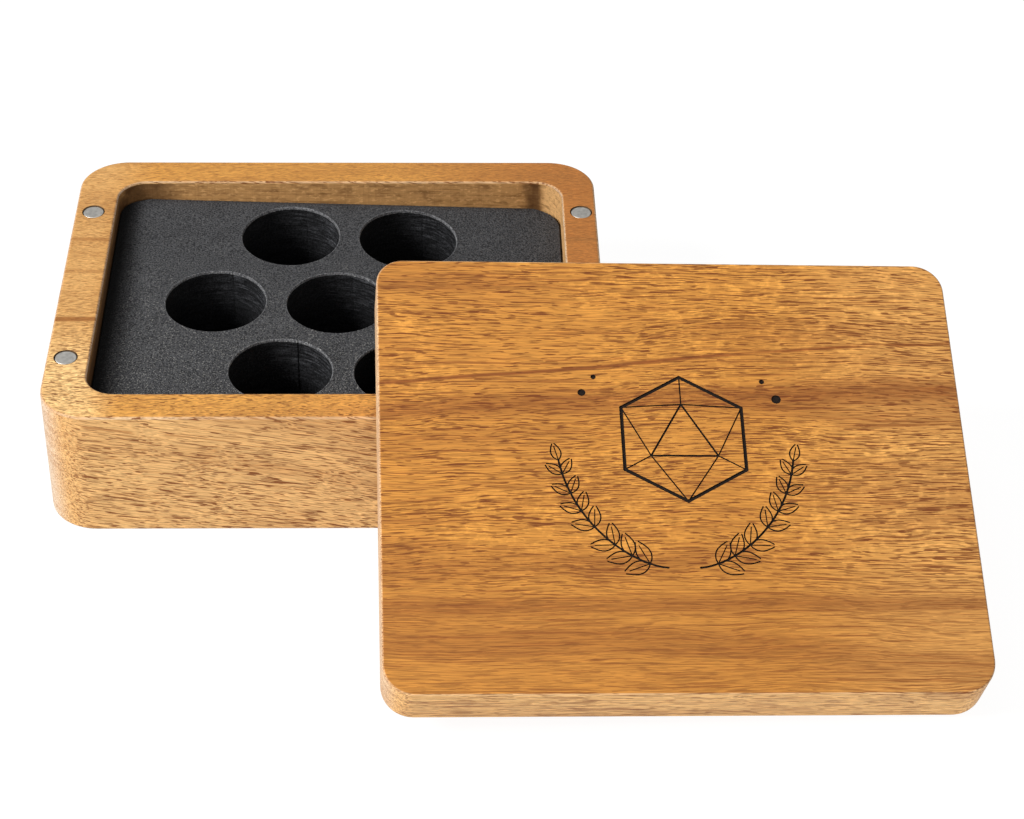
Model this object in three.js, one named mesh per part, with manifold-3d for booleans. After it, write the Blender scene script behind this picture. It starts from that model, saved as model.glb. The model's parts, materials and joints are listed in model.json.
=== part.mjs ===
// A wooden dice box with a lift-off magnetic lid and a foam insert for seven dice.
// Units are millimetres, +Z is up. The origin is the centre of the box's underside.
// The lid stands beside the box: one lower corner is on the table, and its
// hollow underside leans on the box's front rim.

import * as THREE from 'three';
import { mergeVertices } from 'three/addons/utils/BufferGeometryUtils.js';
import Module from 'manifold-3d';

// ---------------------------------------------------------------- dimensions

const WIDTH = 130;               // of box and lid, along X
const DEPTH = 106.5;             // of box and lid, along Y
const LEFT_WALL = 10;            // rim widths of the box, whose cavity is a little off centre
const RIGHT_WALL = 8.4;
const FRONT_WALL = 9.1;
const BACK_WALL = 9.6;
const EDGE_BREAK = 0.5;          // small chamfer on the outer edges
const GAP = 0.3;                 // between pieces that sit against each other

const BOX_HEIGHT = 33;
const BOX_CORNER_RADIUS = 11.5;
const FLOOR_THICKNESS = 5;
const CAVITY_CORNER_RADIUS = 7;

const FOAM_RECESS = 6.5;         // foam's top face below the rim
const BASE_PAD_THICKNESS = 2.4;
const WELL_DIAMETER = 24.2;
const WELL_SPACING = 29.3;       // between wells in a row
const WELL_ROWS = [              // rows from the back to the front
  { y: 27.2, count: 2, centre: 3.2 },
  { y: 0, count: 3, centre: 0.9 },
  { y: -27.2, count: 2, centre: 3.2 },
];

const LID_THICKNESS = 12.6;
const LID_CORNER_RADIUS = 7.5;
const LID_RIM = 8.8;             // band round the shallow hollow in the lid's underside
const LID_HOLLOW_DEPTH = 2;
const LID_HOLLOW_CORNER_RADIUS = 6.5;
const LID_CENTRE = new THREE.Vector3(76.87, -69.1, 23.4);    // centre of its underside
const LID_TURN = THREE.MathUtils.degToRad(1.5);              // about the vertical
const LID_TILT = THREE.MathUtils.degToRad(22.7);             // back edge up
const LID_ROLL = THREE.MathUtils.degToRad(2.7);              // left side up

const MAGNET_DIAMETER = 5;
const MAGNET_THICKNESS = 2.4;
const MAGNET_INSET = 0.15;       // magnet's face below the wood's
const MAGNET_LEFT = -60.5;
const MAGNET_RIGHT = 61.2;
const MAGNET_FRONT = -30.5;
const MAGNET_BACK = 30;

const CORNER_SEGMENTS = 9;       // steps in each quarter circle of an outline
const WELL_SEGMENTS = 48;
const MAGNET_SEGMENTS = 24;
const OVERCUT = 1;               // how far a cutter runs past the face it opens

// ----------------------------------------------------------------- materials

const boxWood = new THREE.MeshStandardMaterial({ color: 0xcf9455, roughness: 0.6, metalness: 0 });
const lidWood = new THREE.MeshStandardMaterial({ color: 0xb9783b, roughness: 0.6, metalness: 0 });
const foam = new THREE.MeshStandardMaterial({ color: 0x3a3a3c, roughness: 0.95, metalness: 0 });
const steel = new THREE.MeshStandardMaterial({ color: 0xa6a6a4, roughness: 0.35, metalness: 1 });

// ------------------------------------------------------------ solid modelling

const wasm = await Module();
wasm.setup();

// A closed geometry as a solid that can be joined and cut.
function solid(geometry) {
  const positionOnly = geometry.index ? geometry.toNonIndexed() : geometry.clone();
  positionOnly.deleteAttribute('normal');
  positionOnly.deleteAttribute('uv');
  const merged = mergeVertices(positionOnly, 1e-4);
  return new wasm.Manifold(new wasm.Mesh({
    numProp: 3,
    vertProperties: new Float32Array(merged.attributes.position.array),
    triVerts: new Uint32Array(merged.index.array),
  }));
}

// The solid as a geometry again.
function geometryOf(body) {
  const mesh = body.getMesh();
  const geometry = new THREE.BufferGeometry();
  geometry.setAttribute('position', new THREE.BufferAttribute(mesh.vertProperties, 3));
  geometry.setIndex(new THREE.BufferAttribute(mesh.triVerts, 1));
  geometry.computeVertexNormals();
  return geometry;
}

function cutAll(body, cutters) {
  return cutters.reduce((rest, cutter) => rest.subtract(cutter), body);
}

// A rectangle with round corners, centred on the origin.
function roundedRectangle(width, depth, radius) {
  const x = width / 2 - radius;
  const y = depth / 2 - radius;
  const outline = new THREE.Shape();
  outline.absarc(x, y, radius, 0, Math.PI / 2);
  outline.absarc(-x, y, radius, Math.PI / 2, Math.PI);
  outline.absarc(-x, -y, radius, Math.PI, 1.5 * Math.PI);
  outline.absarc(x, -y, radius, 1.5 * Math.PI, 2 * Math.PI);
  outline.closePath();
  return outline;
}

// An upright block with round corners from z = low to z = high.
function block(width, depth, radius, low, high) {
  const geometry = new THREE.ExtrudeGeometry(roundedRectangle(width, depth, radius), {
    depth: high - low,
    bevelEnabled: false,
    curveSegments: CORNER_SEGMENTS,
  });
  return geometry.translate(0, 0, low);
}

// The same block with its top and bottom outer edges chamfered.
function brokenEdgeBlock(width, depth, radius, height) {
  const geometry = new THREE.ExtrudeGeometry(roundedRectangle(width, depth, radius), {
    depth: height - 2 * EDGE_BREAK,
    bevelEnabled: true,
    bevelThickness: EDGE_BREAK,
    bevelSize: EDGE_BREAK,
    bevelOffset: -EDGE_BREAK,
    bevelSegments: 1,
    curveSegments: CORNER_SEGMENTS,
  });
  return geometry.translate(0, 0, EDGE_BREAK);
}

// An upright round bar with its axis through (x, y).
function disc(x, y, radius, low, high, segments) {
  const geometry = new THREE.CylinderGeometry(radius, radius, high - low, segments);
  return geometry.rotateX(Math.PI / 2).translate(x, y, (low + high) / 2);
}

function piece(name, geometry, material) {
  const mesh = new THREE.Mesh(geometry, material);
  mesh.name = name;
  return mesh;
}

// -------------------------------------------------------------------- layout

const magnetPlaces = [
  { corner: 'front_left', x: MAGNET_LEFT, y: MAGNET_FRONT },
  { corner: 'front_right', x: MAGNET_RIGHT, y: MAGNET_FRONT },
  { corner: 'back_left', x: MAGNET_LEFT, y: MAGNET_BACK },
  { corner: 'back_right', x: MAGNET_RIGHT, y: MAGNET_BACK },
];

const wellPlaces = WELL_ROWS.flatMap(({ y, count, centre }) =>
  Array.from({ length: count }, (_, i) => ({
    x: centre + (i - (count - 1) / 2) * WELL_SPACING,
    y,
  })));

const magnetRadius = MAGNET_DIAMETER / 2;
const pocketRadius = magnetRadius + GAP;
const pocketDepth = MAGNET_INSET + MAGNET_THICKNESS + GAP;

// Blind pockets for the magnets, opening at z = face towards +Z (1) or -Z (-1).
function magnetPockets(face, direction) {
  const inner = face - direction * pocketDepth;
  const outer = face + direction * OVERCUT;
  const low = Math.min(inner, outer);
  const high = Math.max(inner, outer);
  return magnetPlaces.map(({ x, y }) =>
    solid(disc(x, y, pocketRadius, low, high, MAGNET_SEGMENTS)));
}

// The magnets in those pockets.
function magnets(prefix, face, direction) {
  const outer = face - direction * MAGNET_INSET;
  const inner = outer - direction * MAGNET_THICKNESS;
  const low = Math.min(inner, outer);
  const high = Math.max(inner, outer);
  return magnetPlaces.map(({ corner, x, y }) => piece(
    `${prefix}_${corner}`,
    disc(x, y, magnetRadius, low, high, MAGNET_SEGMENTS),
    steel,
  ));
}

// ----------------------------------------------------------------- the box

const cavityWidth = WIDTH - LEFT_WALL - RIGHT_WALL;
const cavityDepth = DEPTH - FRONT_WALL - BACK_WALL;
const cavityCentreX = (LEFT_WALL - RIGHT_WALL) / 2;
const cavityCentreY = (FRONT_WALL - BACK_WALL) / 2;

// One milled block: floor, four walls and round corners in one piece.
function boxBody() {
  const blank = solid(brokenEdgeBlock(WIDTH, DEPTH, BOX_CORNER_RADIUS, BOX_HEIGHT));
  const cavity = solid(block(
    cavityWidth, cavityDepth, CAVITY_CORNER_RADIUS, FLOOR_THICKNESS, BOX_HEIGHT + OVERCUT,
  ).translate(cavityCentreX, cavityCentreY, 0));
  return geometryOf(cutAll(blank, [cavity, ...magnetPockets(BOX_HEIGHT, 1)]));
}

const foamWidth = cavityWidth - 2 * GAP;
const foamDepth = cavityDepth - 2 * GAP;
const foamRadius = CAVITY_CORNER_RADIUS - GAP;
const padLow = FLOOR_THICKNESS + GAP;
const padHigh = padLow + BASE_PAD_THICKNESS;
const foamLow = padHigh + GAP;
const foamHigh = BOX_HEIGHT - FOAM_RECESS;

// A flat piece of foam with the outline of the cavity.
function foamSheet(low, high) {
  return block(foamWidth, foamDepth, foamRadius, low, high)
    .translate(cavityCentreX, cavityCentreY, 0);
}

// The foam block that fills the cavity, with a round well for each die.
function foamInsert() {
  const blank = solid(foamSheet(foamLow, foamHigh));
  const wells = wellPlaces.map(({ x, y }) => solid(
    disc(x, y, WELL_DIAMETER / 2, foamLow - OVERCUT, foamHigh + OVERCUT, WELL_SEGMENTS)));
  return geometryOf(cutAll(blank, wells));
}

const box = new THREE.Group();
box.add(
  piece('box_body', boxBody(), boxWood),
  piece('foam_base_pad', foamSheet(padLow, padHigh), foam),
  piece('foam_insert', foamInsert(), foam),
  ...magnets('rim_magnet', BOX_HEIGHT, 1),
);

// ----------------------------------------------------------------- the lid

// A solid board with a shallow hollow and four magnet pockets in its underside.
function lidBoard() {
  const blank = solid(brokenEdgeBlock(WIDTH, DEPTH, LID_CORNER_RADIUS, LID_THICKNESS));
  const hollow = solid(block(
    WIDTH - 2 * LID_RIM, DEPTH - 2 * LID_RIM, LID_HOLLOW_CORNER_RADIUS, -OVERCUT, LID_HOLLOW_DEPTH,
  ));
  return geometryOf(cutAll(blank, [hollow, ...magnetPockets(0, -1)]));
}

const lid = new THREE.Group();
lid.add(
  piece('lid_board', lidBoard(), lidWood),
  ...magnets('lid_magnet', 0, -1),
);
lid.rotation.set(LID_TILT, LID_ROLL, LID_TURN, 'ZXY');
lid.position.copy(LID_CENTRE);

// ------------------------------------------------------------ the whole set

const diceBox = new THREE.Group();
diceBox.add(box, lid);

export default diceBox;
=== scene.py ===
"""Looks of a wooden dice box with a foam insert and a lift-off magnetic lid."""

import json
import math

import bmesh
import bpy
from mathutils import Matrix, Vector, geometry, noise


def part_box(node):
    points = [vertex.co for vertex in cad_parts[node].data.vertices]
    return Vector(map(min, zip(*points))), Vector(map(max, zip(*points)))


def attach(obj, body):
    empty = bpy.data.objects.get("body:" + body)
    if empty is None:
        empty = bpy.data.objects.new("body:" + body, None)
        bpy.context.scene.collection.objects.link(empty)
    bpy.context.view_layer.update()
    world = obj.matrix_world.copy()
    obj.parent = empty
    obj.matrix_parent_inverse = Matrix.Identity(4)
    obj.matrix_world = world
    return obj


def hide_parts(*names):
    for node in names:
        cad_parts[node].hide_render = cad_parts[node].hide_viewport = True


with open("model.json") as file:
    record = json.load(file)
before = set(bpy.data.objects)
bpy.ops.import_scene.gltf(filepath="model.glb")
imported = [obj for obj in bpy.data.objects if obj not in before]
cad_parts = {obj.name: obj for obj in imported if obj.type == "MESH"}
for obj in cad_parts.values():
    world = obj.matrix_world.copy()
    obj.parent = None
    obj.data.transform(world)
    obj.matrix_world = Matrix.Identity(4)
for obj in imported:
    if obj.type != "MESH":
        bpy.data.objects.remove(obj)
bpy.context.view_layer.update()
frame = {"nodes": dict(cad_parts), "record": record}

MM = 0.001                    # the geometry below is worked out in millimetres

# ------------------------------------------------------------------ sizes, mm

GAP = 0.3                     # between pieces that sit against each other
BOX_CORNER = 11.5             # radius of the box's outer corners
CAVITY_CORNER = 7.0           # radius of the corners of its cavity
LID_CORNERS = (6.8, 6.0, 7.0, 7.8)   # back right, back left, front left, front right
HOLLOW_CORNER = 6.5
LID_HOLLOW = 2.0              # depth of the hollow in the lid's underside
LID_RIM = 8.8                 # width of the band around it
EDGE = 0.7                    # fillet on the wood's outer edges
LID_TOP_EDGE = 0.5
LID_FOOT_EDGE = 1.1
INNER_EDGE = 0.6              # fillet on the cavity's and the hollow's edges
FLOOR_EDGE = 1.0              # fillet at the foot of the cavity
MAGNET_RADIUS = 2.5
MAGNET_EDGE = 0.18
MAGNET_INSET = 0.15
WELL_RADIUS = 12.1
WELL_LIP = ((0.0, -0.55), (0.02, -0.22), (0.12, 0.02), (0.26, 0.09))   # (outward, up) steps
WELL_SWELL = ((0.26, 0.09), (0.45, 0.06), (0.75, -0.03), (1.1, 0.0))   # round a well's mouth
WELL_RING = 0.4               # height of one step of a well's ridged wall
WELL_RIDGE = 0.22             # how far the ridges stand in and out
LIP_ROUGHNESS = 0.35          # share of that at a well's mouth
WELL_SEAM = math.radians(73)  # where the cut of each well closes
SEAM_HALF = 0.016             # half its width, in radians
SEAM_DEPTH = 0.55
FRONT_ROW = -20.0             # wells in front of this y have the clear seam
FRONT_SEAM = 0.8              # share of the seam's depth there
BACK_SEAM = 0.15              # and in the other wells
FOAM_EDGE = 0.4
FOAM_CORNER = 7.4
FOAM_CELL = 3.0               # spacing of the points that let the foam's top curve
FOAM_CELL_TO_WELL = 0.6       # how near they come to a well's swell
FOAM_CELL_TO_EDGE = 2.0       # and to the foam's edge
GROOVE_DEPTH = 0.3            # of the engraving

CORNER_STEPS = 16
FILLET_STEPS = 5
WELL_STEPS = 88
MAGNET_STEPS = 48
SHARP = math.radians(38)      # edges with more turn than this stay sharp
WELD = 1e-4                   # points nearer than this are one
CUT_SLACK = 1e-6              # the same, when a flat face is cut up

# --------------------------------------------------------------------- camera

LENS = 90.2
CAMERA_PLACE = Vector((26.5, -506.5, 389.6)) * MM
CAMERA_TURN = math.radians(-1.96)
CAMERA_DOWN = math.radians(38.0)
CAMERA_ROLL = math.radians(1.13)


def make_camera():
    data = bpy.data.cameras.new("camera")
    data.lens = LENS
    data.sensor_width = 36
    data.clip_start = 0.01
    camera = bpy.data.objects.new("camera", data)
    bpy.context.collection.objects.link(camera)
    turned = (
        Matrix.Rotation(CAMERA_TURN, 4, "Z")
        @ Matrix.Rotation(math.pi / 2 - CAMERA_DOWN, 4, "X")
        @ Matrix.Rotation(CAMERA_ROLL, 4, "Z")
    )
    camera.matrix_world = Matrix.Translation(CAMERA_PLACE) @ turned
    bpy.context.scene.camera = camera


make_camera()

# ------------------------------------------------------------- lights, floor

WORLD_STRENGTH = 0.34
FLOOR_HALF = 40.0             # metres
FLOOR_LEVEL = -0.1 * MM
FLOOR_GREY = 0.12
FLOOR_GLOW = 0.93             # lifts it to the photo's plain white
LIGHTS = [  # name, place in metres, size in metres, watts
    ("key", (-1.05, -0.42, 0.85), 0.5, 20.0),
    ("top", (-0.1, 0.3, 1.3), 0.7, 2.5),
    ("front", (0.1, -1.35, 0.6), 0.8, 4.5),
]
LIGHT_TARGET = Vector((0.03, -0.03, 0.02))


def make_lights():
    world = bpy.data.worlds.new("studio")
    world.use_nodes = True
    background = world.node_tree.nodes["Background"]
    background.inputs["Color"].default_value = (1.0, 1.0, 1.0, 1)
    background.inputs["Strength"].default_value = WORLD_STRENGTH
    bpy.context.scene.world = world
    for name, place, size, watts in LIGHTS:
        data = bpy.data.lights.new(name, "AREA")
        data.shape = "DISK"
        data.size = size
        data.energy = watts
        lamp = bpy.data.objects.new(name, data)
        bpy.context.collection.objects.link(lamp)
        lamp.location = place
        aim = LIGHT_TARGET - Vector(place)
        lamp.rotation_euler = aim.to_track_quat("-Z", "Y").to_euler()
    bpy.context.scene.view_settings.view_transform = "Standard"


def make_floor():
    mesh = bpy.data.meshes.new("floor")
    signs = ((-1, -1), (1, -1), (1, 1), (-1, 1))
    corners = [(sx * FLOOR_HALF, sy * FLOOR_HALF, FLOOR_LEVEL) for sx, sy in signs]
    mesh.from_pydata(corners, [], [(0, 1, 2, 3)])
    floor = bpy.data.objects.new("floor", mesh)
    bpy.context.collection.objects.link(floor)
    material = bpy.data.materials.new("floor_white")
    material.use_nodes = True
    shader = material.node_tree.nodes["Principled BSDF"]
    shader.inputs["Base Color"].default_value = (FLOOR_GREY, FLOOR_GREY, FLOOR_GREY, 1)
    shader.inputs["Roughness"].default_value = 1.0
    shader.inputs["Specular IOR Level"].default_value = 0.0
    shader.inputs["Emission Color"].default_value = (1, 1, 1, 1)
    shader.inputs["Emission Strength"].default_value = FLOOR_GLOW
    mesh.materials.append(material)


make_lights()
make_floor()

# ------------------------------------------------------------ material nodes


class Nodes:
    """Short calls for a material's node tree."""

    def __init__(self, name):
        self.material = bpy.data.materials.new(name)
        self.material.use_nodes = True
        self.tree = self.material.node_tree
        self.shader = self.tree.nodes["Principled BSDF"]
        self.where = self.tree.nodes.new("ShaderNodeTexCoord")

    def link(self, source, socket):
        self.tree.links.new(source, socket)

    def feed(self, socket, value):
        if isinstance(value, bpy.types.NodeSocket):
            self.link(value, socket)
        else:
            socket.default_value = value

    def math(self, operation, a, b=0.0):
        node = self.tree.nodes.new("ShaderNodeMath")
        node.operation = operation
        self.feed(node.inputs[0], a)
        self.feed(node.inputs[1], b)
        return node.outputs[0]

    def times(self, a, b):
        return self.math("MULTIPLY", a, b)

    def plus(self, a, b):
        return self.math("ADD", a, b)

    def minus(self, a, b):
        return self.math("SUBTRACT", a, b)

    def vector(self, operation, a, b):
        node = self.tree.nodes.new("ShaderNodeVectorMath")
        node.operation = operation
        self.feed(node.inputs[0], a)
        self.feed(node.inputs[1], b)
        return node.outputs[0]

    def split(self, vector):
        node = self.tree.nodes.new("ShaderNodeSeparateXYZ")
        self.link(vector, node.inputs[0])
        return node.outputs

    def join(self, x, y, z):
        node = self.tree.nodes.new("ShaderNodeCombineXYZ")
        for socket, value in zip(node.inputs, (x, y, z)):
            self.feed(socket, value)
        return node.outputs[0]

    def noise(self, place, stretch, detail=2.0, rough=0.5, shift=0.0):
        """Noise whose cells measure stretch = (x, y, z) millimetres."""
        node = self.tree.nodes.new("ShaderNodeTexNoise")
        node.inputs["Scale"].default_value = 1.0
        node.inputs["Detail"].default_value = detail
        node.inputs["Roughness"].default_value = rough
        scaled = self.vector("MULTIPLY", place, tuple(1 / s for s in stretch))
        moved = self.vector("ADD", scaled, (shift, shift * 0.7, -shift))
        self.link(moved, node.inputs["Vector"])
        return node.outputs["Fac"]

    def swing(self, place, stretch, detail, rough, shift, reach):
        """Noise between -reach / 2 and reach / 2."""
        return self.times(self.minus(self.noise(place, stretch, detail, rough, shift), 0.5), reach)

    def ramp(self, value, low, high):
        """0 at low, 1 at high, with a soft step between them."""
        node = self.tree.nodes.new("ShaderNodeMapRange")
        node.interpolation_type = "SMOOTHSTEP"
        self.feed(node.inputs["Value"], value)
        node.inputs["From Min"].default_value = low
        node.inputs["From Max"].default_value = high
        return node.outputs["Result"]

    def mix(self, share, a, b, blend="MIX"):
        node = self.tree.nodes.new("ShaderNodeMix")
        node.data_type = "RGBA"
        node.blend_type = blend
        self.feed(node.inputs[0], share)
        for socket, value in ((node.inputs[6], a), (node.inputs[7], b)):
            self.feed(socket, value if isinstance(value, bpy.types.NodeSocket) else (*value, 1))
        return node.outputs[2]

    def stain(self, colour, other, share, value, low, high):
        """colour with a share of the other, as value goes from low to high."""
        return self.mix(self.times(self.ramp(value, low, high), share), colour, other)

    def shaded(self, colour, amount):
        """colour times a number that varies over the surface."""
        return self.mix(1.0, colour, self.join(amount, amount, amount), "MULTIPLY")

    def bump(self, height, distance, strength=1.0):
        node = self.tree.nodes.new("ShaderNodeBump")
        node.inputs["Strength"].default_value = strength
        node.inputs["Distance"].default_value = distance * MM
        self.link(height, node.inputs["Height"])
        self.link(node.outputs[0], self.shader.inputs["Normal"])

    def millimetres(self):
        """The place on the piece, in its own frame."""
        return self.vector("MULTIPLY", self.where.outputs["Object"], (1 / MM, 1 / MM, 1 / MM))


def wood(name, top, side, end, dark, pore, seed, slope=0.0, figure_and_sheen=(0.3, -99, -90),
         bands=(), tints=(), calm=None, side_pores=1.0):
    """Straight-grained hardwood with its grain along the piece's own X.

    top, side and end are the colours of the faces across Z, Y and X, dark is the
    late wood and pore the open vessels. slope tips the grain in the XZ plane.
    The ripple figure's pale flecks are partly its own paler fibres and partly a painted
    sheen of its chatoyance; the argument after slope sets their strength, and the y where
    they begin and where they are full. bands are dark streaks: (y in mm, slope, half
    width in mm, strength). tints are (colour, (from x, to x), (from y, to y)), and an
    empty pair sets no limit. calm is (from y, to y, share): where the pores of the top
    fade, and what is left of them. side_pores is the strength of the pores on the faces
    across Y.
    """
    n = Nodes(name)
    place = n.millimetres()
    x, y, z = n.split(place)
    sway = n.swing(place, (70, 26, 26), 1, 0.5, seed, 8.0)
    ripple = n.swing(place, (15, 8, 8), 1, 0.5, seed + 3, 1.3)
    bent = n.plus(sway, ripple)
    leaning = n.plus(z, n.times(x, slope))
    grain = n.join(x, n.plus(y, bent), n.plus(leaning, n.times(bent, 0.5)))

    facing = n.split(n.vector("ABSOLUTE", n.where.outputs["Normal"], (0, 0, 0)))
    on_end, on_side, on_top = facing
    colour = n.mix(n.ramp(on_side, 0.35, 0.8), top, side)
    colour = n.mix(n.ramp(on_end, 0.45, 0.95), colour, end)
    # Painted highlight: the fillets between the faces take a share of the pale end colour, as a
    # lit edge.
    fillet = n.times(n.ramp(on_top, 0.15, 0.4), n.ramp(on_top, 0.985, 0.93))
    colour = n.mix(n.times(fillet, 0.45), colour, end)
    # Tints recolour stretches of the top faces; on the box the lighter ones toward the left are
    # painted light.
    for shade, across, along in tints:
        shown = n.ramp(on_top, 0.9, 0.99)
        for limit, coordinate in ((across, x), (along, y)):
            if limit:
                shown = n.times(shown, n.ramp(coordinate, *limit))
        colour = n.mix(n.times(shown, 0.9), colour, shade)

    broad = n.noise(grain, (120, 12, 12), 2, 0.55, seed + 5)
    streak = n.noise(grain, (42, 0.7, 0.7), 3, 0.66, seed + 9)
    hair = n.noise(grain, (34, 0.32, 0.32), 1, 0.5, seed + 51)
    fibre = n.noise(grain, (7, 0.22, 0.22), 2, 0.6, seed + 14)
    rings = n.noise(place, (90, 34, 1.5), 2, 0.6, seed + 61)
    colour = n.stain(colour, dark, n.minus(0.42, n.times(on_end, 0.3)), broad, 0.45, 0.68)
    colour = n.stain(colour, dark, n.times(on_end, 0.34), rings, 0.42, 0.62)
    colour = n.stain(colour, dark, 0.55, streak, 0.52, 0.74)
    colour = n.stain(colour, dark, 0.7, hair, 0.57, 0.67)
    for height, rise, half, strength in bands:
        line = n.minus(n.plus(y, n.times(bent, 0.5)), n.plus(n.times(x, rise), height))
        near = n.ramp(n.math("ABSOLUTE", line), half, half * 0.1)
        patchy = n.ramp(n.noise(grain, (45, 1.6, 1.6), 2, 0.6, seed + height), 0.15, 0.5)
        shown = n.minus(strength, n.times(on_end, strength * 0.92))
        colour = n.mix(n.times(n.times(near, patchy), shown), colour, dark)
    colour = n.shaded(colour, n.plus(n.times(n.ramp(fibre, 0.28, 0.72), 0.54), 0.74))
    # Pale flecks of the ripple figure: partly the figure's own fibres, partly painted sheen.
    fleck = n.noise(place, (2.4, 1.7, 1.7), 3, 0.6, seed + 21)
    field = n.ramp(n.noise(place, (34, 26, 26), 1, 0.5, seed + 25), 0.4, 0.6)
    field = n.times(field, n.ramp(y, *figure_and_sheen[1:]))
    figure_and_sheen_share = n.times(n.ramp(fleck, 0.46, 0.68), n.times(field, figure_and_sheen[0]))
    colour = n.mix(figure_and_sheen_share, colour, n.vector("MULTIPLY", colour, (1.5, 1.62, 1.7)))

    crowd = n.swing(grain, (36, 9, 9), 1, 0.5, seed + 41, 0.2)
    long_pores = n.plus(n.noise(grain, (6.5, 0.3, 0.3), 1.0, 0.5, seed + 31), crowd)
    short_pores = n.plus(n.noise(grain, (3.0, 0.27, 0.27), 0.0, 0.4, seed + 37), crowd)
    deep = n.ramp(long_pores, 0.605, 0.65)
    holes = n.math("MAXIMUM", deep, n.times(n.ramp(short_pores, 0.65, 0.72), 0.85))
    for towards, loss in ((on_end, 0.6), (on_side, 1 - side_pores)):
        holes = n.times(holes, n.minus(1.0, n.times(towards, loss)))
    if calm:
        faded = n.times(n.ramp(y, *calm[:2]), n.ramp(on_top, 0.9, 0.99))
        holes = n.times(holes, n.minus(1.0, n.times(faded, 1 - calm[2])))
        colour = n.mix(n.times(faded, 0.18), colour, dark)
    colour = n.mix(n.times(holes, 0.95), colour, pore)
    n.link(colour, n.shader.inputs["Base Color"])

    rough = n.plus(0.48, n.times(fibre, 0.2))
    n.link(n.plus(rough, n.times(holes, 0.2)), n.shader.inputs["Roughness"])
    n.shader.inputs["Specular IOR Level"].default_value = 0.32
    n.bump(n.minus(n.times(fibre, 0.4), holes), 0.06, 0.8)
    return n.material


def milled_wood(name, colour, dark, corner, seed):
    """The bare walls of the cavity: browned, with faint upright tool marks.

    The corners at the right show pale end grain, with a scorch mark where each
    begins. Those at the left and the left ends of the walls carry painted shade, and the
    foot of the left wall a painted shadow that goes near black.
    """
    n = Nodes(name)
    place = n.millimetres()
    x, _, z = n.split(place)
    across = n.split(n.where.outputs["Normal"])[0]
    marks = n.noise(place, (0.6, 0.6, 30), 2, 0.6, seed)
    streak = n.noise(place, (9, 0.5, 0.5), 3, 0.65, seed + 4)
    blotch = n.noise(place, (5, 5, 2.2), 2, 0.55, seed + 8)
    fibre = n.noise(place, (2.2, 0.25, 0.25), 2, 0.6, seed + 11)
    mottle = n.noise(place, (1.6, 1.6, 0.8), 2, 0.6, seed + 23)
    wander = n.swing(place, (2, 2, 3), 2, 0.5, seed + 17, 0.25)
    to_left = n.minus(wander, across)
    to_right = n.plus(across, wander)
    # Pale end grain only on the walls that face left; the walls facing right keep the darker tone,
    # as painted shade.
    mixed = n.mix(n.ramp(to_left, 0.2, 0.45), colour, corner)
    mixed = n.stain(mixed, dark, 0.5, streak, 0.48, 0.7)
    mixed = n.stain(mixed, dark, 0.14, marks, 0.5, 0.75)
    mixed = n.stain(mixed, dark, 0.55, blotch, 0.5, 0.72)
    mixed = n.stain(mixed, tuple(c * 1.4 for c in corner), 0.4, mottle, 0.5, 0.7)
    wavering = n.plus(x, n.times(wander, 12.0))
    scorch = n.times(n.ramp(wavering, 46.0, 49.3), n.ramp(to_left, 0.42, 0.15))
    # Painted shade on the left ends of the walls and in the left corners, where the lamp at the
    # left casts shadow.
    painted_left_shade = n.times(n.ramp(wavering, -37, -47), n.ramp(to_right, 0.97, 0.75))
    # Painted shadow at the foot of the left wall, near black next to the foam.
    foot = n.times(n.ramp(to_right, 0.5, 0.8), n.ramp(z, 33.5, 29.0))
    # The scorch is a burn mark on the wood; the other two are painted shade.
    scorch_and_painted_shade = n.math("MAXIMUM", n.times(scorch, 0.8), n.times(painted_left_shade, 0.75))
    scorch_and_painted_shade = n.math("MAXIMUM", scorch_and_painted_shade, n.times(foot, 0.85))
    mixed = n.mix(scorch_and_painted_shade, mixed, tuple(c * 0.5 for c in dark))
    mixed = n.shaded(mixed, n.plus(0.72, n.times(fibre, 0.56)))
    n.link(mixed, n.shader.inputs["Base Color"])
    n.shader.inputs["Roughness"].default_value = 0.75
    n.shader.inputs["Specular IOR Level"].default_value = 0.2
    n.bump(n.plus(marks, n.times(fibre, 0.5)), 0.08, 0.8)
    return n.material


def charred_wood(name, seed):
    """The floor and sides of the burnt engraving."""
    n = Nodes(name)
    place = n.millimetres()
    soot = n.noise(place, (0.5, 0.3, 0.3), 3, 0.6, seed)
    n.link(n.mix(n.ramp(soot, 0.35, 0.75), (0.006, 0.005, 0.005), (0.03, 0.017, 0.01)),
           n.shader.inputs["Base Color"])
    n.shader.inputs["Roughness"].default_value = 0.85
    n.shader.inputs["Specular IOR Level"].default_value = 0.2
    n.bump(soot, 0.06, 0.8)
    return n.material


def glue_and_shadow(name, seed):
    """Dark adhesive and shadow round a magnet."""
    n = Nodes(name)
    smear = n.noise(n.millimetres(), (0.5, 0.5, 0.5), 3, 0.6, seed)
    n.link(n.mix(smear, (0.04, 0.025, 0.014), (0.26, 0.15, 0.07)), n.shader.inputs["Base Color"])
    n.shader.inputs["Roughness"].default_value = 0.5
    n.bump(smear, 0.1, 0.8)
    return n.material


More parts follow.
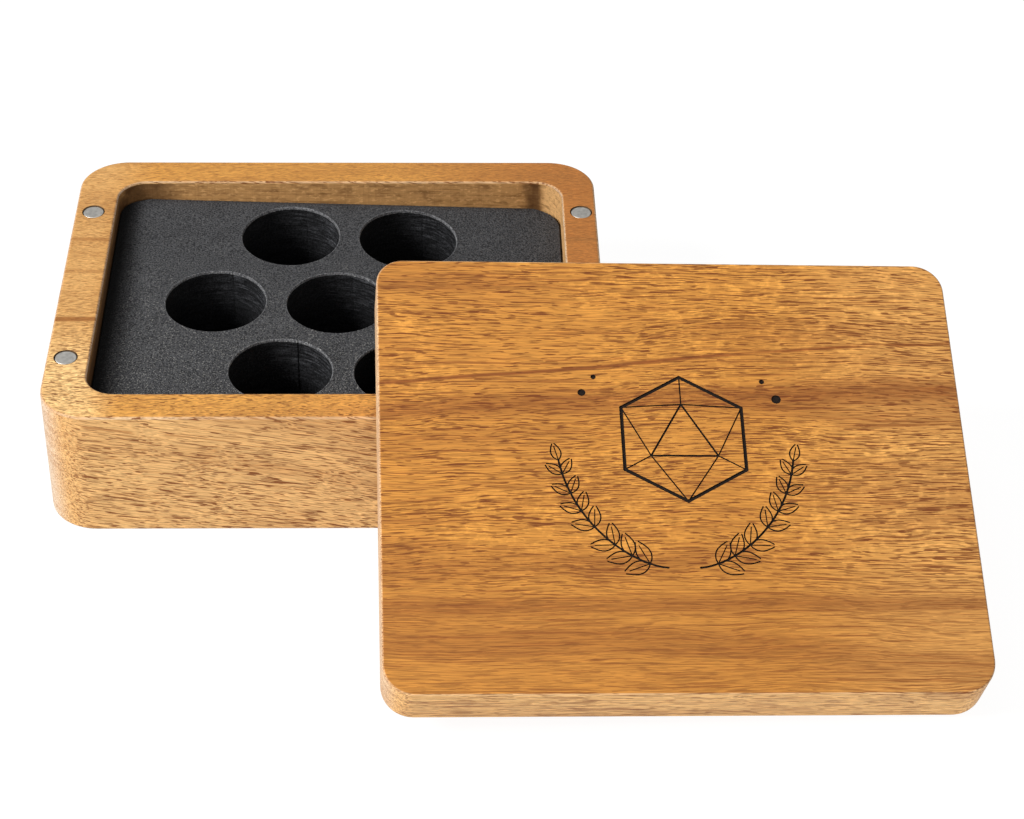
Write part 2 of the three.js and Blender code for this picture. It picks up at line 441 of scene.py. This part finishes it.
def foam(name, dark, light, speck, seed, painted_wall_shadow=None, ridges_and_painted_highlight=None):
    """Closed-cell foam: dark pits and paler specks, coarser toward the front.

    The x pair after seed spans a painted shadow along the left wall: near black at its
    first x, the foam's own tone from the second. The last argument is (colour, low z,
    high z): ridges in the relief, with painted highlights as pale lines on walls that face
    left, fading downward.
    """
    n = Nodes(name)
    place = n.millimetres()
    x, y, z = n.split(place)
    coarse = n.plus(n.times(n.ramp(y, 34, -38), 0.75), 0.25)
    cells = n.noise(place, (0.42, 0.42, 0.42), 2, 0.7, seed)
    specks = n.noise(place, (0.36, 0.36, 0.36), 1, 0.6, seed + 6)
    cloud = n.noise(place, (7, 7, 7), 3, 0.55, seed + 12)
    colour = n.mix(n.ramp(cells, 0.36, 0.64), dark, light)
    shown = n.times(n.ramp(specks, 0.58, 0.7), coarse)
    colour = n.mix(shown, colour, speck)
    shade = n.plus(0.75, n.times(cloud, 0.5))
    # Painted shadow that the left wall casts on the foam: near black at the wall, the foam's own
    # tone a few millimetres out.
    if painted_wall_shadow:
        painted_shadow_factor = n.plus(0.07, n.times(n.ramp(x, *painted_wall_shadow), 0.93))
        shade = n.times(shade, painted_shadow_factor)
    relief = n.plus(cells, n.times(specks, 0.6))
    if ridges_and_painted_highlight:
        painted_ridge_highlight, low, high = ridges_and_painted_highlight
        rings = n.ramp(n.noise(place, (5, 5, 0.5), 4, 0.75, seed + 19), 0.45, 0.7)
        rings = n.times(rings, n.plus(0.35, n.ramp(cells, 0.35, 0.6)))
        # Painted highlight: pale ridge lines only on walls that face left, toward the lamp, fading
        # downward; the ridges' relief itself is all round.
        facing = n.split(n.where.outputs["Normal"])[0]
        shown = n.times(n.ramp(z, low, high), n.ramp(facing, 0.6, -0.5))
        colour = n.mix(n.times(rings, shown), colour, painted_ridge_highlight)
        relief = n.plus(relief, rings)
    n.link(n.shaded(colour, shade), n.shader.inputs["Base Color"])
    n.shader.inputs["Roughness"].default_value = 0.95
    n.shader.inputs["Specular IOR Level"].default_value = 0.12
    n.bump(relief, 0.3, 1.0)
    return n.material


def magnet_metal(name, seed):
    """Nickel plate dulled by handling, with fine scratches."""
    n = Nodes(name)
    place = n.millimetres()
    scratch = n.noise(place, (2.5, 0.06, 1), 1, 0.5, seed)
    haze = n.noise(place, (0.9, 0.9, 0.9), 3, 0.6, seed + 5)
    n.link(n.mix(haze, (0.44, 0.43, 0.40), (0.82, 0.80, 0.755)), n.shader.inputs["Base Color"])
    n.shader.inputs["Metallic"].default_value = 1.0
    n.link(n.plus(0.38, n.times(haze, 0.3)), n.shader.inputs["Roughness"])
    n.bump(n.plus(n.times(scratch, 0.4), haze), 0.02, 0.6)
    return n.material


# ------------------------------------------------------------- closed shells


def rounded(width, depth, radius, centre=(0.0, 0.0)):
    """A rectangle with round corners, as a function of (inset, z).

    The function gives the outline that far inside it at that height, anticlockwise and
    always with as many points. radius is one number, or one for each corner from the
    back right one on.
    """
    radii = radius if isinstance(radius, tuple) else (radius,) * 4
    signs = ((1, 1), (-1, 1), (-1, -1), (1, -1))

    def outline(inset, z):
        points = []
        for turn, (r, (sx, sy)) in enumerate(zip(radii, signs)):
            r -= inset
            middle = Vector((
                sx * ((width - 2 * inset) / 2 - r) + centre[0],
                sy * ((depth - 2 * inset) / 2 - r) + centre[1],
                z,
            ))
            for step in range(CORNER_STEPS + 1):
                angle = math.pi / 2 * (turn + step / CORNER_STEPS)
                points.append(middle + r * Vector((math.cos(angle), math.sin(angle), 0)))
        return points

    return outline


def circle(x, y, radius, z, steps):
    angles = (2 * math.pi * k / steps for k in range(steps))
    return [Vector((x + radius * math.cos(a), y + radius * math.sin(a), z)) for a in angles]


def quarter(size):
    """(in, up) steps of a quarter round of that size, from its foot to its top."""
    turns = (math.pi / 2 * k / FILLET_STEPS for k in range(FILLET_STEPS + 1))
    return [(size * (1 - math.cos(a)), size * math.sin(a)) for a in turns]


def lower_edge(size, low):
    """(inset, z) steps of the fillet round an underside at z = low, going up."""
    return [(size - up, low + inward) for inward, up in quarter(size)]


def upper_edge(size, high):
    """(inset, z) steps of the fillet round a top at z = high, going up."""
    return [(inward, high - size + up) for inward, up in quarter(size)]


class Shell:
    """One closed piece, built in millimetres from loops of points and flat plates."""

    def __init__(self):
        self.bm = bmesh.new()

    def band(self, loops, material=0):
        """Quads between each loop and the next."""
        rows = [[self.bm.verts.new(p) for p in loop] for loop in loops]
        for low, high in zip(rows, rows[1:]):
            for k in range(len(low)):
                quad = (low[k - 1], low[k], high[k], high[k - 1])
                self.bm.faces.new(quad).material_index = material

    def plate(self, edge, holes=(), sunk=(), depth=0.0, spread=(), materials=(0, 0)):
        """A flat face inside edge, without the holes.

        The polygons in sunk are let in by depth, with upright sides. spread are
        extra points, so that the face can be curved later.
        """
        z = edge[0].z
        loops = [edge, *holes, *sunk]
        points, faces = [], []
        for loop in loops:
            turning = sum(a.x * b.y - b.x * a.y for a, b in zip(loop, loop[1:] + loop[:1]))
            order = range(len(points), len(points) + len(loop))
            faces.append(list(order) if turning > 0 else list(reversed(order)))
            points += [p.xy for p in loop]
        points += [Vector(p) for p in spread]
        flat, _, cells, _, _, owners = geometry.delaunay_2d_cdt(points, [], faces, 1, CUT_SLACK)
        hole_ids = set(range(1, 1 + len(holes)))
        sunk_ids = set(range(1 + len(holes), len(loops)))
        levels = {}

        def corner(index, low):
            key = (index, low)
            if key not in levels:
                levels[key] = self.bm.verts.new((*flat[index], z - depth if low else z))
            return levels[key]

        sides = {}
        for cell, owner in zip(cells, owners):
            if hole_ids & set(owner) or 0 not in owner:
                continue
            low = bool(sunk_ids & set(owner))
            face = self.bm.faces.new([corner(i, low) for i in cell])
            face.material_index = materials[1] if low else materials[0]
            for a, b in zip(cell, cell[1:] + cell[:1]):
                sides.setdefault(frozenset((a, b)), []).append((low, a, b))
        for met in sides.values():
            if len(met) == 2 and met[0][0] != met[1][0]:
                _, a, b = next(side for side in met if not side[0])
                wall = [corner(b, False), corner(a, False), corner(a, True), corner(b, True)]
                self.bm.faces.new(wall).material_index = materials[1]

    def piece(self, name, materials, bend=None, place=None):
        """The finished object. bend moves each point, and place is its own frame."""
        bmesh.ops.remove_doubles(self.bm, verts=self.bm.verts, dist=WELD)
        if bend:
            for vert in self.bm.verts:
                vert.co = bend(vert.co)
        bmesh.ops.recalc_face_normals(self.bm, faces=self.bm.faces)
        bmesh.ops.scale(self.bm, vec=(MM, MM, MM), verts=self.bm.verts)
        for face in self.bm.faces:
            face.smooth = True
        mesh = bpy.data.meshes.new(name)
        self.bm.to_mesh(mesh)
        self.bm.free()
        mesh.set_sharp_from_angle(angle=SHARP)
        for material in materials:
            mesh.materials.append(material)
        made = bpy.data.objects.new(name, mesh)
        bpy.context.collection.objects.link(made)
        if place:
            made.matrix_world = place
        even = made.modifiers.new("even_normals", "WEIGHTED_NORMAL")
        even.keep_sharp = True
        return made


def millimetre_box(node):
    low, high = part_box(node)
    return low / MM, high / MM


def middle_of(node):
    low, high = millimetre_box(node)
    return (low + high) / 2


def pocket(shell, x, y, face, direction):
    """The wall and floor of a magnet's pocket, opening at z = face."""
    inner = face - direction * POCKET_DEPTH
    rim = circle(x, y, MAGNET_RADIUS + GAP, face, MAGNET_STEPS)
    foot = circle(x, y, MAGNET_RADIUS + GAP, inner, MAGNET_STEPS)
    # The pocket's wall and floor take the dark glue colour, partly painted shadow in the gap round
    # the magnet.
    shell.band([rim, foot], 2)
    shell.plate(foot, materials=(2, 2))
    return rim


# ------------------------------------------------------- places from the frame

box_low, box_high = millimetre_box("box_body")
foam_low, foam_high = millimetre_box("foam_insert")
pad_low, pad_high = millimetre_box("foam_base_pad")
box_size = box_high - box_low
foam_size = foam_high - foam_low
cavity_width = foam_size.x + 2 * GAP
cavity_depth = foam_size.y + 2 * GAP
cavity_middle = ((foam_low + foam_high) / 2).xy
cavity_floor = pad_low.z - GAP

CORNERS = ("front_left", "front_right", "back_left", "back_right")
rim_magnets = {corner: middle_of(f"rim_magnet_{corner}") for corner in CORNERS}
magnet_low, magnet_high = millimetre_box("rim_magnet_front_left")
magnet_thickness = magnet_high.z - magnet_low.z
POCKET_DEPTH = MAGNET_INSET + magnet_thickness + GAP

wells = []
for opening in frame["record"]["physics"]["openings"]:
    if opening["name"].startswith("die_well"):
        low, high = (Vector(corner) / MM for corner in opening["box_m"])
        wells.append((low + high) / 2)


def lid_frame():
    """The lid's own frame, with its origin amid the underside and X along the grain.

    It comes with the lid's size and its magnets' middles.
    """
    at = {corner: middle_of(f"lid_magnet_{corner}") for corner in CORNERS}
    along = (at["front_right"] - at["front_left"]).normalized()
    up = along.cross(at["back_left"] - at["front_left"]).normalized()
    turned = Matrix((along, up.cross(along), up)).transposed()
    points = [turned.inverted() @ v.co / MM for v in frame["nodes"]["lid_board"].data.vertices]
    low = Vector([min(p[axis] for p in points) for axis in range(3)])
    high = Vector([max(p[axis] for p in points) for axis in range(3)])
    origin = turned @ Vector(((low.x + high.x) / 2, (low.y + high.y) / 2, low.z))
    return Matrix.Translation(origin * MM) @ turned.to_4x4(), high - low, at


lid_place, (lid_width, lid_depth, lid_thickness), lid_magnet_middles = lid_frame()

# ------------------------------------------------------------------ materials

box_wood = wood(
    # The box's pale, greyed end colour is partly its end grain's own tone and partly a painted
    # highlight on its lit left end.
    "box_wood", top=(0.70, 0.33, 0.068), side=(0.675, 0.385, 0.142), end=(0.64, 0.50, 0.36),
    dark=(0.36, 0.145, 0.034), pore=(0.185, 0.053, 0.010), seed=2.0, slope=0.15,
    bands=((-16.0, 0.0, 1.4, 1.8), (4.0, 0.0, 1.6, 0.5), (18.0, 0.0, 1.2, 0.6)),
    # The first tint darkens the rim's top toward the right; the two lighter ones, toward the left
    # and the left front, are painted light where the lamp at the left falls.
    tints=(((0.49, 0.17, 0.036), (5.0, 62.0), ()), ((0.76, 0.43, 0.15), (-45.0, -60.0), ()),
           ((0.98, 0.64, 0.27), (-46.0, -58.0), (-15.0, -38.0))),
    calm=(-62.0, 5.0, 0.35),
)
lid_wood = wood(
    "lid_wood", top=(0.60, 0.252, 0.042), side=(0.83, 0.475, 0.17), end=(0.70, 0.48, 0.28),
    dark=(0.25, 0.072, 0.012), pore=(0.18, 0.045, 0.008), seed=11.0, figure_and_sheen=(0.62, -34, -12),
    bands=((27.2, 0.085, 0.8, 1.0), (17.5, 0.04, 4.5, 0.55), (-33.0, 0.01, 3.5, 0.5)),
    tints=(((0.69, 0.335, 0.087), (15.0, 60.0), ()),),
    calm=(-18.0, -38.0, 0.45), side_pores=0.7,
)
cavity_wood = milled_wood(
    "cavity_wood", colour=(0.50, 0.265, 0.095), dark=(0.13, 0.05, 0.014),
    corner=(0.64, 0.37, 0.15), seed=5.0,
)
burnt = charred_wood("engraving_char", 3.0)
pocket_glue_and_shadow = glue_and_shadow("magnet_glue_and_shadow", 4.0)
# The top foam carries a painted shadow along the left wall.
black_foam = foam(
    "black_foam", dark=(0.0235, 0.0235, 0.0255), light=(0.088, 0.089, 0.093),
    speck=(0.25, 0.245, 0.23), seed=6.0, painted_wall_shadow=(foam_low.x + 1.1, foam_low.x + 6.2),
)
# The wells' foam is near black: partly its cut cells' own darker tone, partly painted shade in the
# wells; its pale ridge lines are painted highlights.
cut_foam_and_painted_shade = foam(
    "cut_foam_and_painted_shade", dark=(0.003, 0.003, 0.0035), light=(0.016, 0.0165, 0.018),
    speck=(0.04, 0.041, 0.044), seed=9.0, ridges_and_painted_highlight=((0.13, 0.133, 0.144), 10.0, 25.0),
)
# A paler foam round each well's mouth: a painted highlight on the lip.
lip_foam_painted_highlight = foam(
    "lip_foam_painted_highlight", dark=(0.05, 0.05, 0.053), light=(0.2, 0.202, 0.21),
    speck=(0.45, 0.45, 0.44), seed=8.0,
)
plate_metal = magnet_metal("magnet_plate", 7.0)

# -------------------------------------------------------------------- the box


def make_box():
    shell = Shell()
    height = box_size.z
    outer = rounded(box_size.x, box_size.y, BOX_CORNER)
    loops = [outer(*step) for step in lower_edge(EDGE, 0.0) + upper_edge(EDGE, height)]
    shell.plate(loops[0])
    shell.band(loops)

    cavity = rounded(cavity_width, cavity_depth, CAVITY_CORNER, cavity_middle)
    mouth = [cavity(-inset, z) for inset, z in upper_edge(INNER_EDGE, height)]
    foot = [cavity(inward, cavity_floor + FLOOR_EDGE - up) for inward, up in quarter(FLOOR_EDGE)]
    shell.band(mouth)
    shell.band([mouth[0], foot[0]], 1)
    shell.band(foot, 1)
    shell.plate(foot[-1], materials=(1, 1))

    rims = [pocket(shell, m.x, m.y, height, 1) for m in rim_magnets.values()]
    shell.plate(loops[-1], holes=[mouth[-1], *rims])
    made = shell.piece("box_wood_body", [box_wood, cavity_wood, pocket_glue_and_shadow])
    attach(made, "box")
    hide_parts("box_body")


make_box()

# ------------------------------------------------------------------- the foam

SAG_ACROSS = (0.1, 0.028, 0.0005)    # the top lies lower to the right: 1, x and x * x
SAG_ALONG = (0.018, 0.0003)          # and curves along the box: y and y * y
WAVER = 0.25                         # height of its waves
WAVER_SPAN = 23                      # and their length
LEFT_LIFT = 0.7                      # how far it climbs the left wall
LEFT_SPAN = 3.0                      # and from how far away
RIDGES = ((1.0, 1.3, 1.25), (0.6, 3.5, 2.6))   # strength, waves round a well, waves up it


def foam_rise(x, y):
    """How far the foam's top lies above its nominal height."""
    across = SAG_ACROSS[0] - SAG_ACROSS[1] * x - SAG_ACROSS[2] * x * x
    along = SAG_ALONG[0] * y + SAG_ALONG[1] * y * y
    waver = WAVER * noise.noise(Vector((x / WAVER_SPAN, y / WAVER_SPAN, 0.0)))
    at_left = LEFT_LIFT * math.exp(-((x - foam_low.x) / LEFT_SPAN) ** 2)
    return across + along + waver + at_left


def bend_foam(p):
    share = (p.z - foam_low.z) / foam_size.z
    return Vector((p.x, p.y, p.z + foam_rise(p.x, p.y) * share))


# Directions round a well, with a close pair on either side of the seam's own.
WELL_TURNS = sorted(
    [WELL_SEAM + 2 * math.pi * k / WELL_STEPS for k in range(WELL_STEPS)]
    + [WELL_SEAM + SEAM_HALF, WELL_SEAM + 2 * math.pi - SEAM_HALF]
)


def well_loop(centre, z, radius, rough=1.0):
    """One level of a well's wall, with the cutter's ridges and its closing seam."""
    points = []
    for turn in WELL_TURNS:
        x, y = math.cos(turn), math.sin(turn)
        ridge = sum(
            strength * noise.noise(Vector((x * around, y * around, z * upward + shift)))
            for (strength, around, upward), shift in zip(RIDGES, centre)
        )
        reach = radius + rough * WELL_RIDGE * ridge
        if turn == WELL_SEAM:
            reach += SEAM_DEPTH * (FRONT_SEAM if centre.y < FRONT_ROW else BACK_SEAM)
        points.append(Vector((centre.x + reach * x, centre.y + reach * y, z)))
    return points


def top_points(width, depth):
    """Points spread over the foam's top, clear of its wells and its edge."""
    to_well = WELL_RADIUS + WELL_SWELL[-1][0] + FOAM_CELL_TO_WELL
    columns = round(width / FOAM_CELL)
    rows = round(depth / FOAM_CELL)
    spread = []
    for i in range(1, columns):
        for j in range(1, rows):
            p = Vector((foam_low.x + width * i / columns, foam_low.y + depth * j / rows))
            off = p - cavity_middle
            to_edge = min(width / 2 - abs(off.x), depth / 2 - abs(off.y))
            if to_edge > FOAM_CELL_TO_EDGE and all((p - c.xy).length > to_well for c in wells):
                spread.append(p)
    return spread


def make_foam_insert():
    shell = Shell()
    width, depth = foam_size.xy
    low, high = foam_low.z, foam_high.z
    outer = rounded(width, depth, FOAM_CORNER, cavity_middle)
    loops = [outer(0, low)] + [outer(*step) for step in upper_edge(FOAM_EDGE, high)]
    shell.band(loops)
    mouths, feet = [], []
    for centre in wells:
        start = high + WELL_LIP[0][1]
        levels = round((start - low) / WELL_RING)
        heights = (low + (start - low) * k / levels for k in range(levels))
        wall = [well_loop(centre, z, WELL_RADIUS) for z in heights]
        lip, swell = (
            [well_loop(centre, high + up, WELL_RADIUS + out, LIP_ROUGHNESS) for out, up in steps]
            for steps in (WELL_LIP, WELL_SWELL)
        )
        # The well walls take the near-black cut foam, partly painted shade.
        shell.band(wall + lip[:1], 1)
        # The lip takes the paler foam, a painted highlight.
        shell.band(lip, 2)
        shell.band(swell)
        feet.append(wall[0])
        mouths.append(swell[-1])
    shell.plate(loops[-1], holes=mouths, spread=top_points(width, depth))
    shell.plate(loops[0], holes=feet)
    made = shell.piece("foam_insert_block", [black_foam, cut_foam_and_painted_shade, lip_foam_painted_highlight], bend=bend_foam)
    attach(made, "box")
    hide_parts("foam_insert")


def make_base_pad():
    shell = Shell()
    outer = rounded(foam_size.x, foam_size.y, FOAM_CORNER, cavity_middle)
    steps = lower_edge(FOAM_EDGE, pad_low.z) + upper_edge(FOAM_EDGE, pad_high.z)
    loops = [outer(*step) for step in steps]
    shell.plate(loops[0])
    shell.band(loops)
    shell.plate(loops[-1])
    made = shell.piece("foam_base_sheet", [cut_foam_and_painted_shade])
    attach(made, "box")
    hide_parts("foam_base_pad")


make_foam_insert()
make_base_pad()

# ----------------------------------------------------------------- the magnets


def make_magnet(name, node, place, body):
    """A plated disc with a soft edge, centred on its own frame."""
    shell = Shell()
    half = magnet_thickness / 2
    steps = lower_edge(MAGNET_EDGE, -half) + upper_edge(MAGNET_EDGE, half)
    loops = [circle(0, 0, MAGNET_RADIUS - inset, z, MAGNET_STEPS) for inset, z in steps]
    shell.plate(loops[0])
    shell.band(loops)
    shell.plate(loops[-1])
    made = shell.piece(name, [plate_metal], place=place)
    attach(made, body)
    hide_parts(node)


def magnet_place(middle, turned, spin):
    return Matrix.Translation(middle * MM) @ turned @ Matrix.Rotation(spin, 4, "Z")


RIM_SPIN = (0.7, 1.9)         # turn of the first disc and the step to the next, in
LID_SPIN = (0.3, 1.3)         # radians, so that no two discs look alike

upright = Matrix.Identity(4)
with_lid = lid_place.to_3x3().to_4x4()
for k, corner in enumerate(CORNERS):
    in_rim = magnet_place(rim_magnets[corner], upright, RIM_SPIN[0] + RIM_SPIN[1] * k)
    make_magnet(f"rim_disc_{corner}", f"rim_magnet_{corner}", in_rim, "box")
    in_lid = magnet_place(lid_magnet_middles[corner], with_lid, LID_SPIN[0] + LID_SPIN[1] * k)
    make_magnet(f"lid_disc_{corner}", f"lid_magnet_{corner}", in_lid, "lid")

# ------------------------------------------------------------------ engraving

BOLD = 0.8                    # line widths of the engraving, mm
FINE = 0.32
DIE_CENTRE = Vector((2.0, 7.5))
DIE_RADIUS = 15.5
DIE_FACE = 8.6                # the middle triangle's corners from the centre
STEM_ROOT = Vector((3.5, -24.0))
STEM_REACH = 23.0             # how far each stem goes outward
STEM_RISE = 26.0              # and upward
STEM_CURVE = 1.35
STEM_STEPS = 24
LEAVES = 7                    # pairs on each stem
FIRST_LEAF = 3                # stem steps below the first pair
LEAF_PITCH = 3.2              # and from one pair to the next
LEAF_LENGTH = 6.4             # of the first pair
LEAF_SHRINK = 0.3             # how much shorter each pair is than the one below
TIP_LEAF = 4.6                # length of the leaf at the stem's end
LEAF_BELLY = 0.24             # half a leaf's width, as a share of its length
LEAF_RIB = 0.75               # its rib's share of its length
LEAF_LEAN = 42                # degrees from the stem
LEAF_STEPS = 10
DOTS = ((-20, 19, 0.9), (23.5, 17.5, 1.1), (-17.2, 23.0, 0.6), (20.6, 22.0, 0.6))  # x, y, radius


def stroke(points, width, closed=False):
    """A line of that width as polygons that share their edges."""
    count = len(points)
    left, right = [], []
    for k, p in enumerate(points):
        before = points[k - 1] if closed or k > 0 else None
        after = points[(k + 1) % count] if closed or k < count - 1 else None
        into = (p - before).normalized() if before else (after - p).normalized()
        out = (after - p).normalized() if after else into
        across = (into + out).normalized().orthogonal()
        reach = width / 2 / max(0.5, across.dot(into.orthogonal()))
        left.append(p + across * reach)
        right.append(p - across * reach)
    quads = []
    for k in range(count if closed else count - 1):
        m = (k + 1) % count
        quads.append([left[k], left[m], right[m], right[k]])
    if not closed:
        for end, inner in ((points[0], points[1]), (points[-1], points[-2])):
            away = end - inner
            start = math.atan2(away.y, away.x) - math.pi / 2
            turns = (start + math.pi * k / 6 for k in range(7))
            quads.append([end + width / 2 * Vector((math.cos(a), math.sin(a))) for a in turns])
    return quads


def spot(x, y, radius, sides=12):
    turns = (2 * math.pi * k / sides for k in range(sides))
    return [Vector((x + radius * math.cos(a), y + radius * math.sin(a))) for a in turns]


def polar(centre, radius, degrees):
    angle = math.radians(degrees)
    return centre + radius * Vector((math.cos(angle), math.sin(angle)))


def die_lines():
    """A twenty-sided die seen on one face, without numbers."""
    rim = [polar(DIE_CENTRE, DIE_RADIUS, 90 + 60 * k) for k in range(6)]
    face = [polar(DIE_CENTRE, DIE_FACE, 90 + 120 * k) for k in range(3)]
    lines = stroke(rim, BOLD, closed=True)
    lines += stroke(face, FINE * 1.4, closed=True)
    for k in range(3):
        for m in (2 * k - 1, 2 * k, 2 * k + 1):
            lines += stroke([face[k], rim[m % 6]], FINE)
    return lines


def leaf(root, degrees, length):
    """A pointed leaf with a mid rib."""
    tip = polar(root, length, degrees)
    belly = length * LEAF_BELLY
    lines = []
    for side in (1, -1):
        edge = []
        for k in range(LEAF_STEPS):
            t = k / LEAF_STEPS
            off = side * belly * math.sin(math.pi * t ** 0.8)
            edge.append(root.lerp(tip, t) + off * (tip - root).normalized().orthogonal())
        lines += stroke(edge, FINE)
    return lines + stroke([root, root.lerp(tip, LEAF_RIB)], FINE * 0.8)


def spray(side):
    """One curved stem of leaves, on the left (-1) or right (1)."""
    stem = []
    for k in range(STEM_STEPS + 1):
        t = k / STEM_STEPS
        outward = STEM_ROOT.x + STEM_REACH * math.sin(t * STEM_CURVE)
        stem.append(Vector((side * outward, STEM_ROOT.y + STEM_RISE * t ** 1.6)))
    lines = stroke(stem, FINE * 1.5)
    for k in range(LEAVES):
        at = round(FIRST_LEAF + LEAF_PITCH * k)
        ahead = stem[at + 1] - stem[at - 1]
        heading = math.degrees(math.atan2(ahead.y, ahead.x))
        for lean in (LEAF_LEAN, -LEAF_LEAN):
            lines += leaf(stem[at], heading + lean, LEAF_LENGTH - LEAF_SHRINK * k)
    return lines + leaf(stem[-1], heading, TIP_LEAF)


def engraving():
    return die_lines() + spray(-1) + spray(1) + [spot(*dot) for dot in DOTS]


# -------------------------------------------------------------------- the lid


def make_lid():
    shell = Shell()
    hollow = rounded(lid_width - 2 * LID_RIM, lid_depth - 2 * LID_RIM, HOLLOW_CORNER)
    inner = [hollow(0, LID_HOLLOW)]
    inner += [hollow(-inward, INNER_EDGE - up) for inward, up in quarter(INNER_EDGE)]
    shell.plate(inner[0])
    shell.band(inner)
    outline = rounded(lid_width, lid_depth, LID_CORNERS)
    steps = lower_edge(LID_FOOT_EDGE, 0.0) + upper_edge(LID_TOP_EDGE, lid_thickness)
    outer = [outline(*step) for step in steps]
    shell.band(outer)
    inverse = lid_place.inverted()
    spots = [inverse @ (m * MM) / MM for m in lid_magnet_middles.values()]
    rims = [pocket(shell, m.x, m.y, 0.0, -1) for m in spots]
    shell.plate(outer[0], holes=[inner[-1], *rims])
    lines = [[p.to_3d() for p in polygon] for polygon in engraving()]
    shell.plate(outer[-1], sunk=lines, depth=GROOVE_DEPTH, materials=(0, 1))
    made = shell.piece("lid_wood_board", [lid_wood, burnt, pocket_glue_and_shadow], place=lid_place)
    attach(made, "lid")
    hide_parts("lid_board")


make_lid()
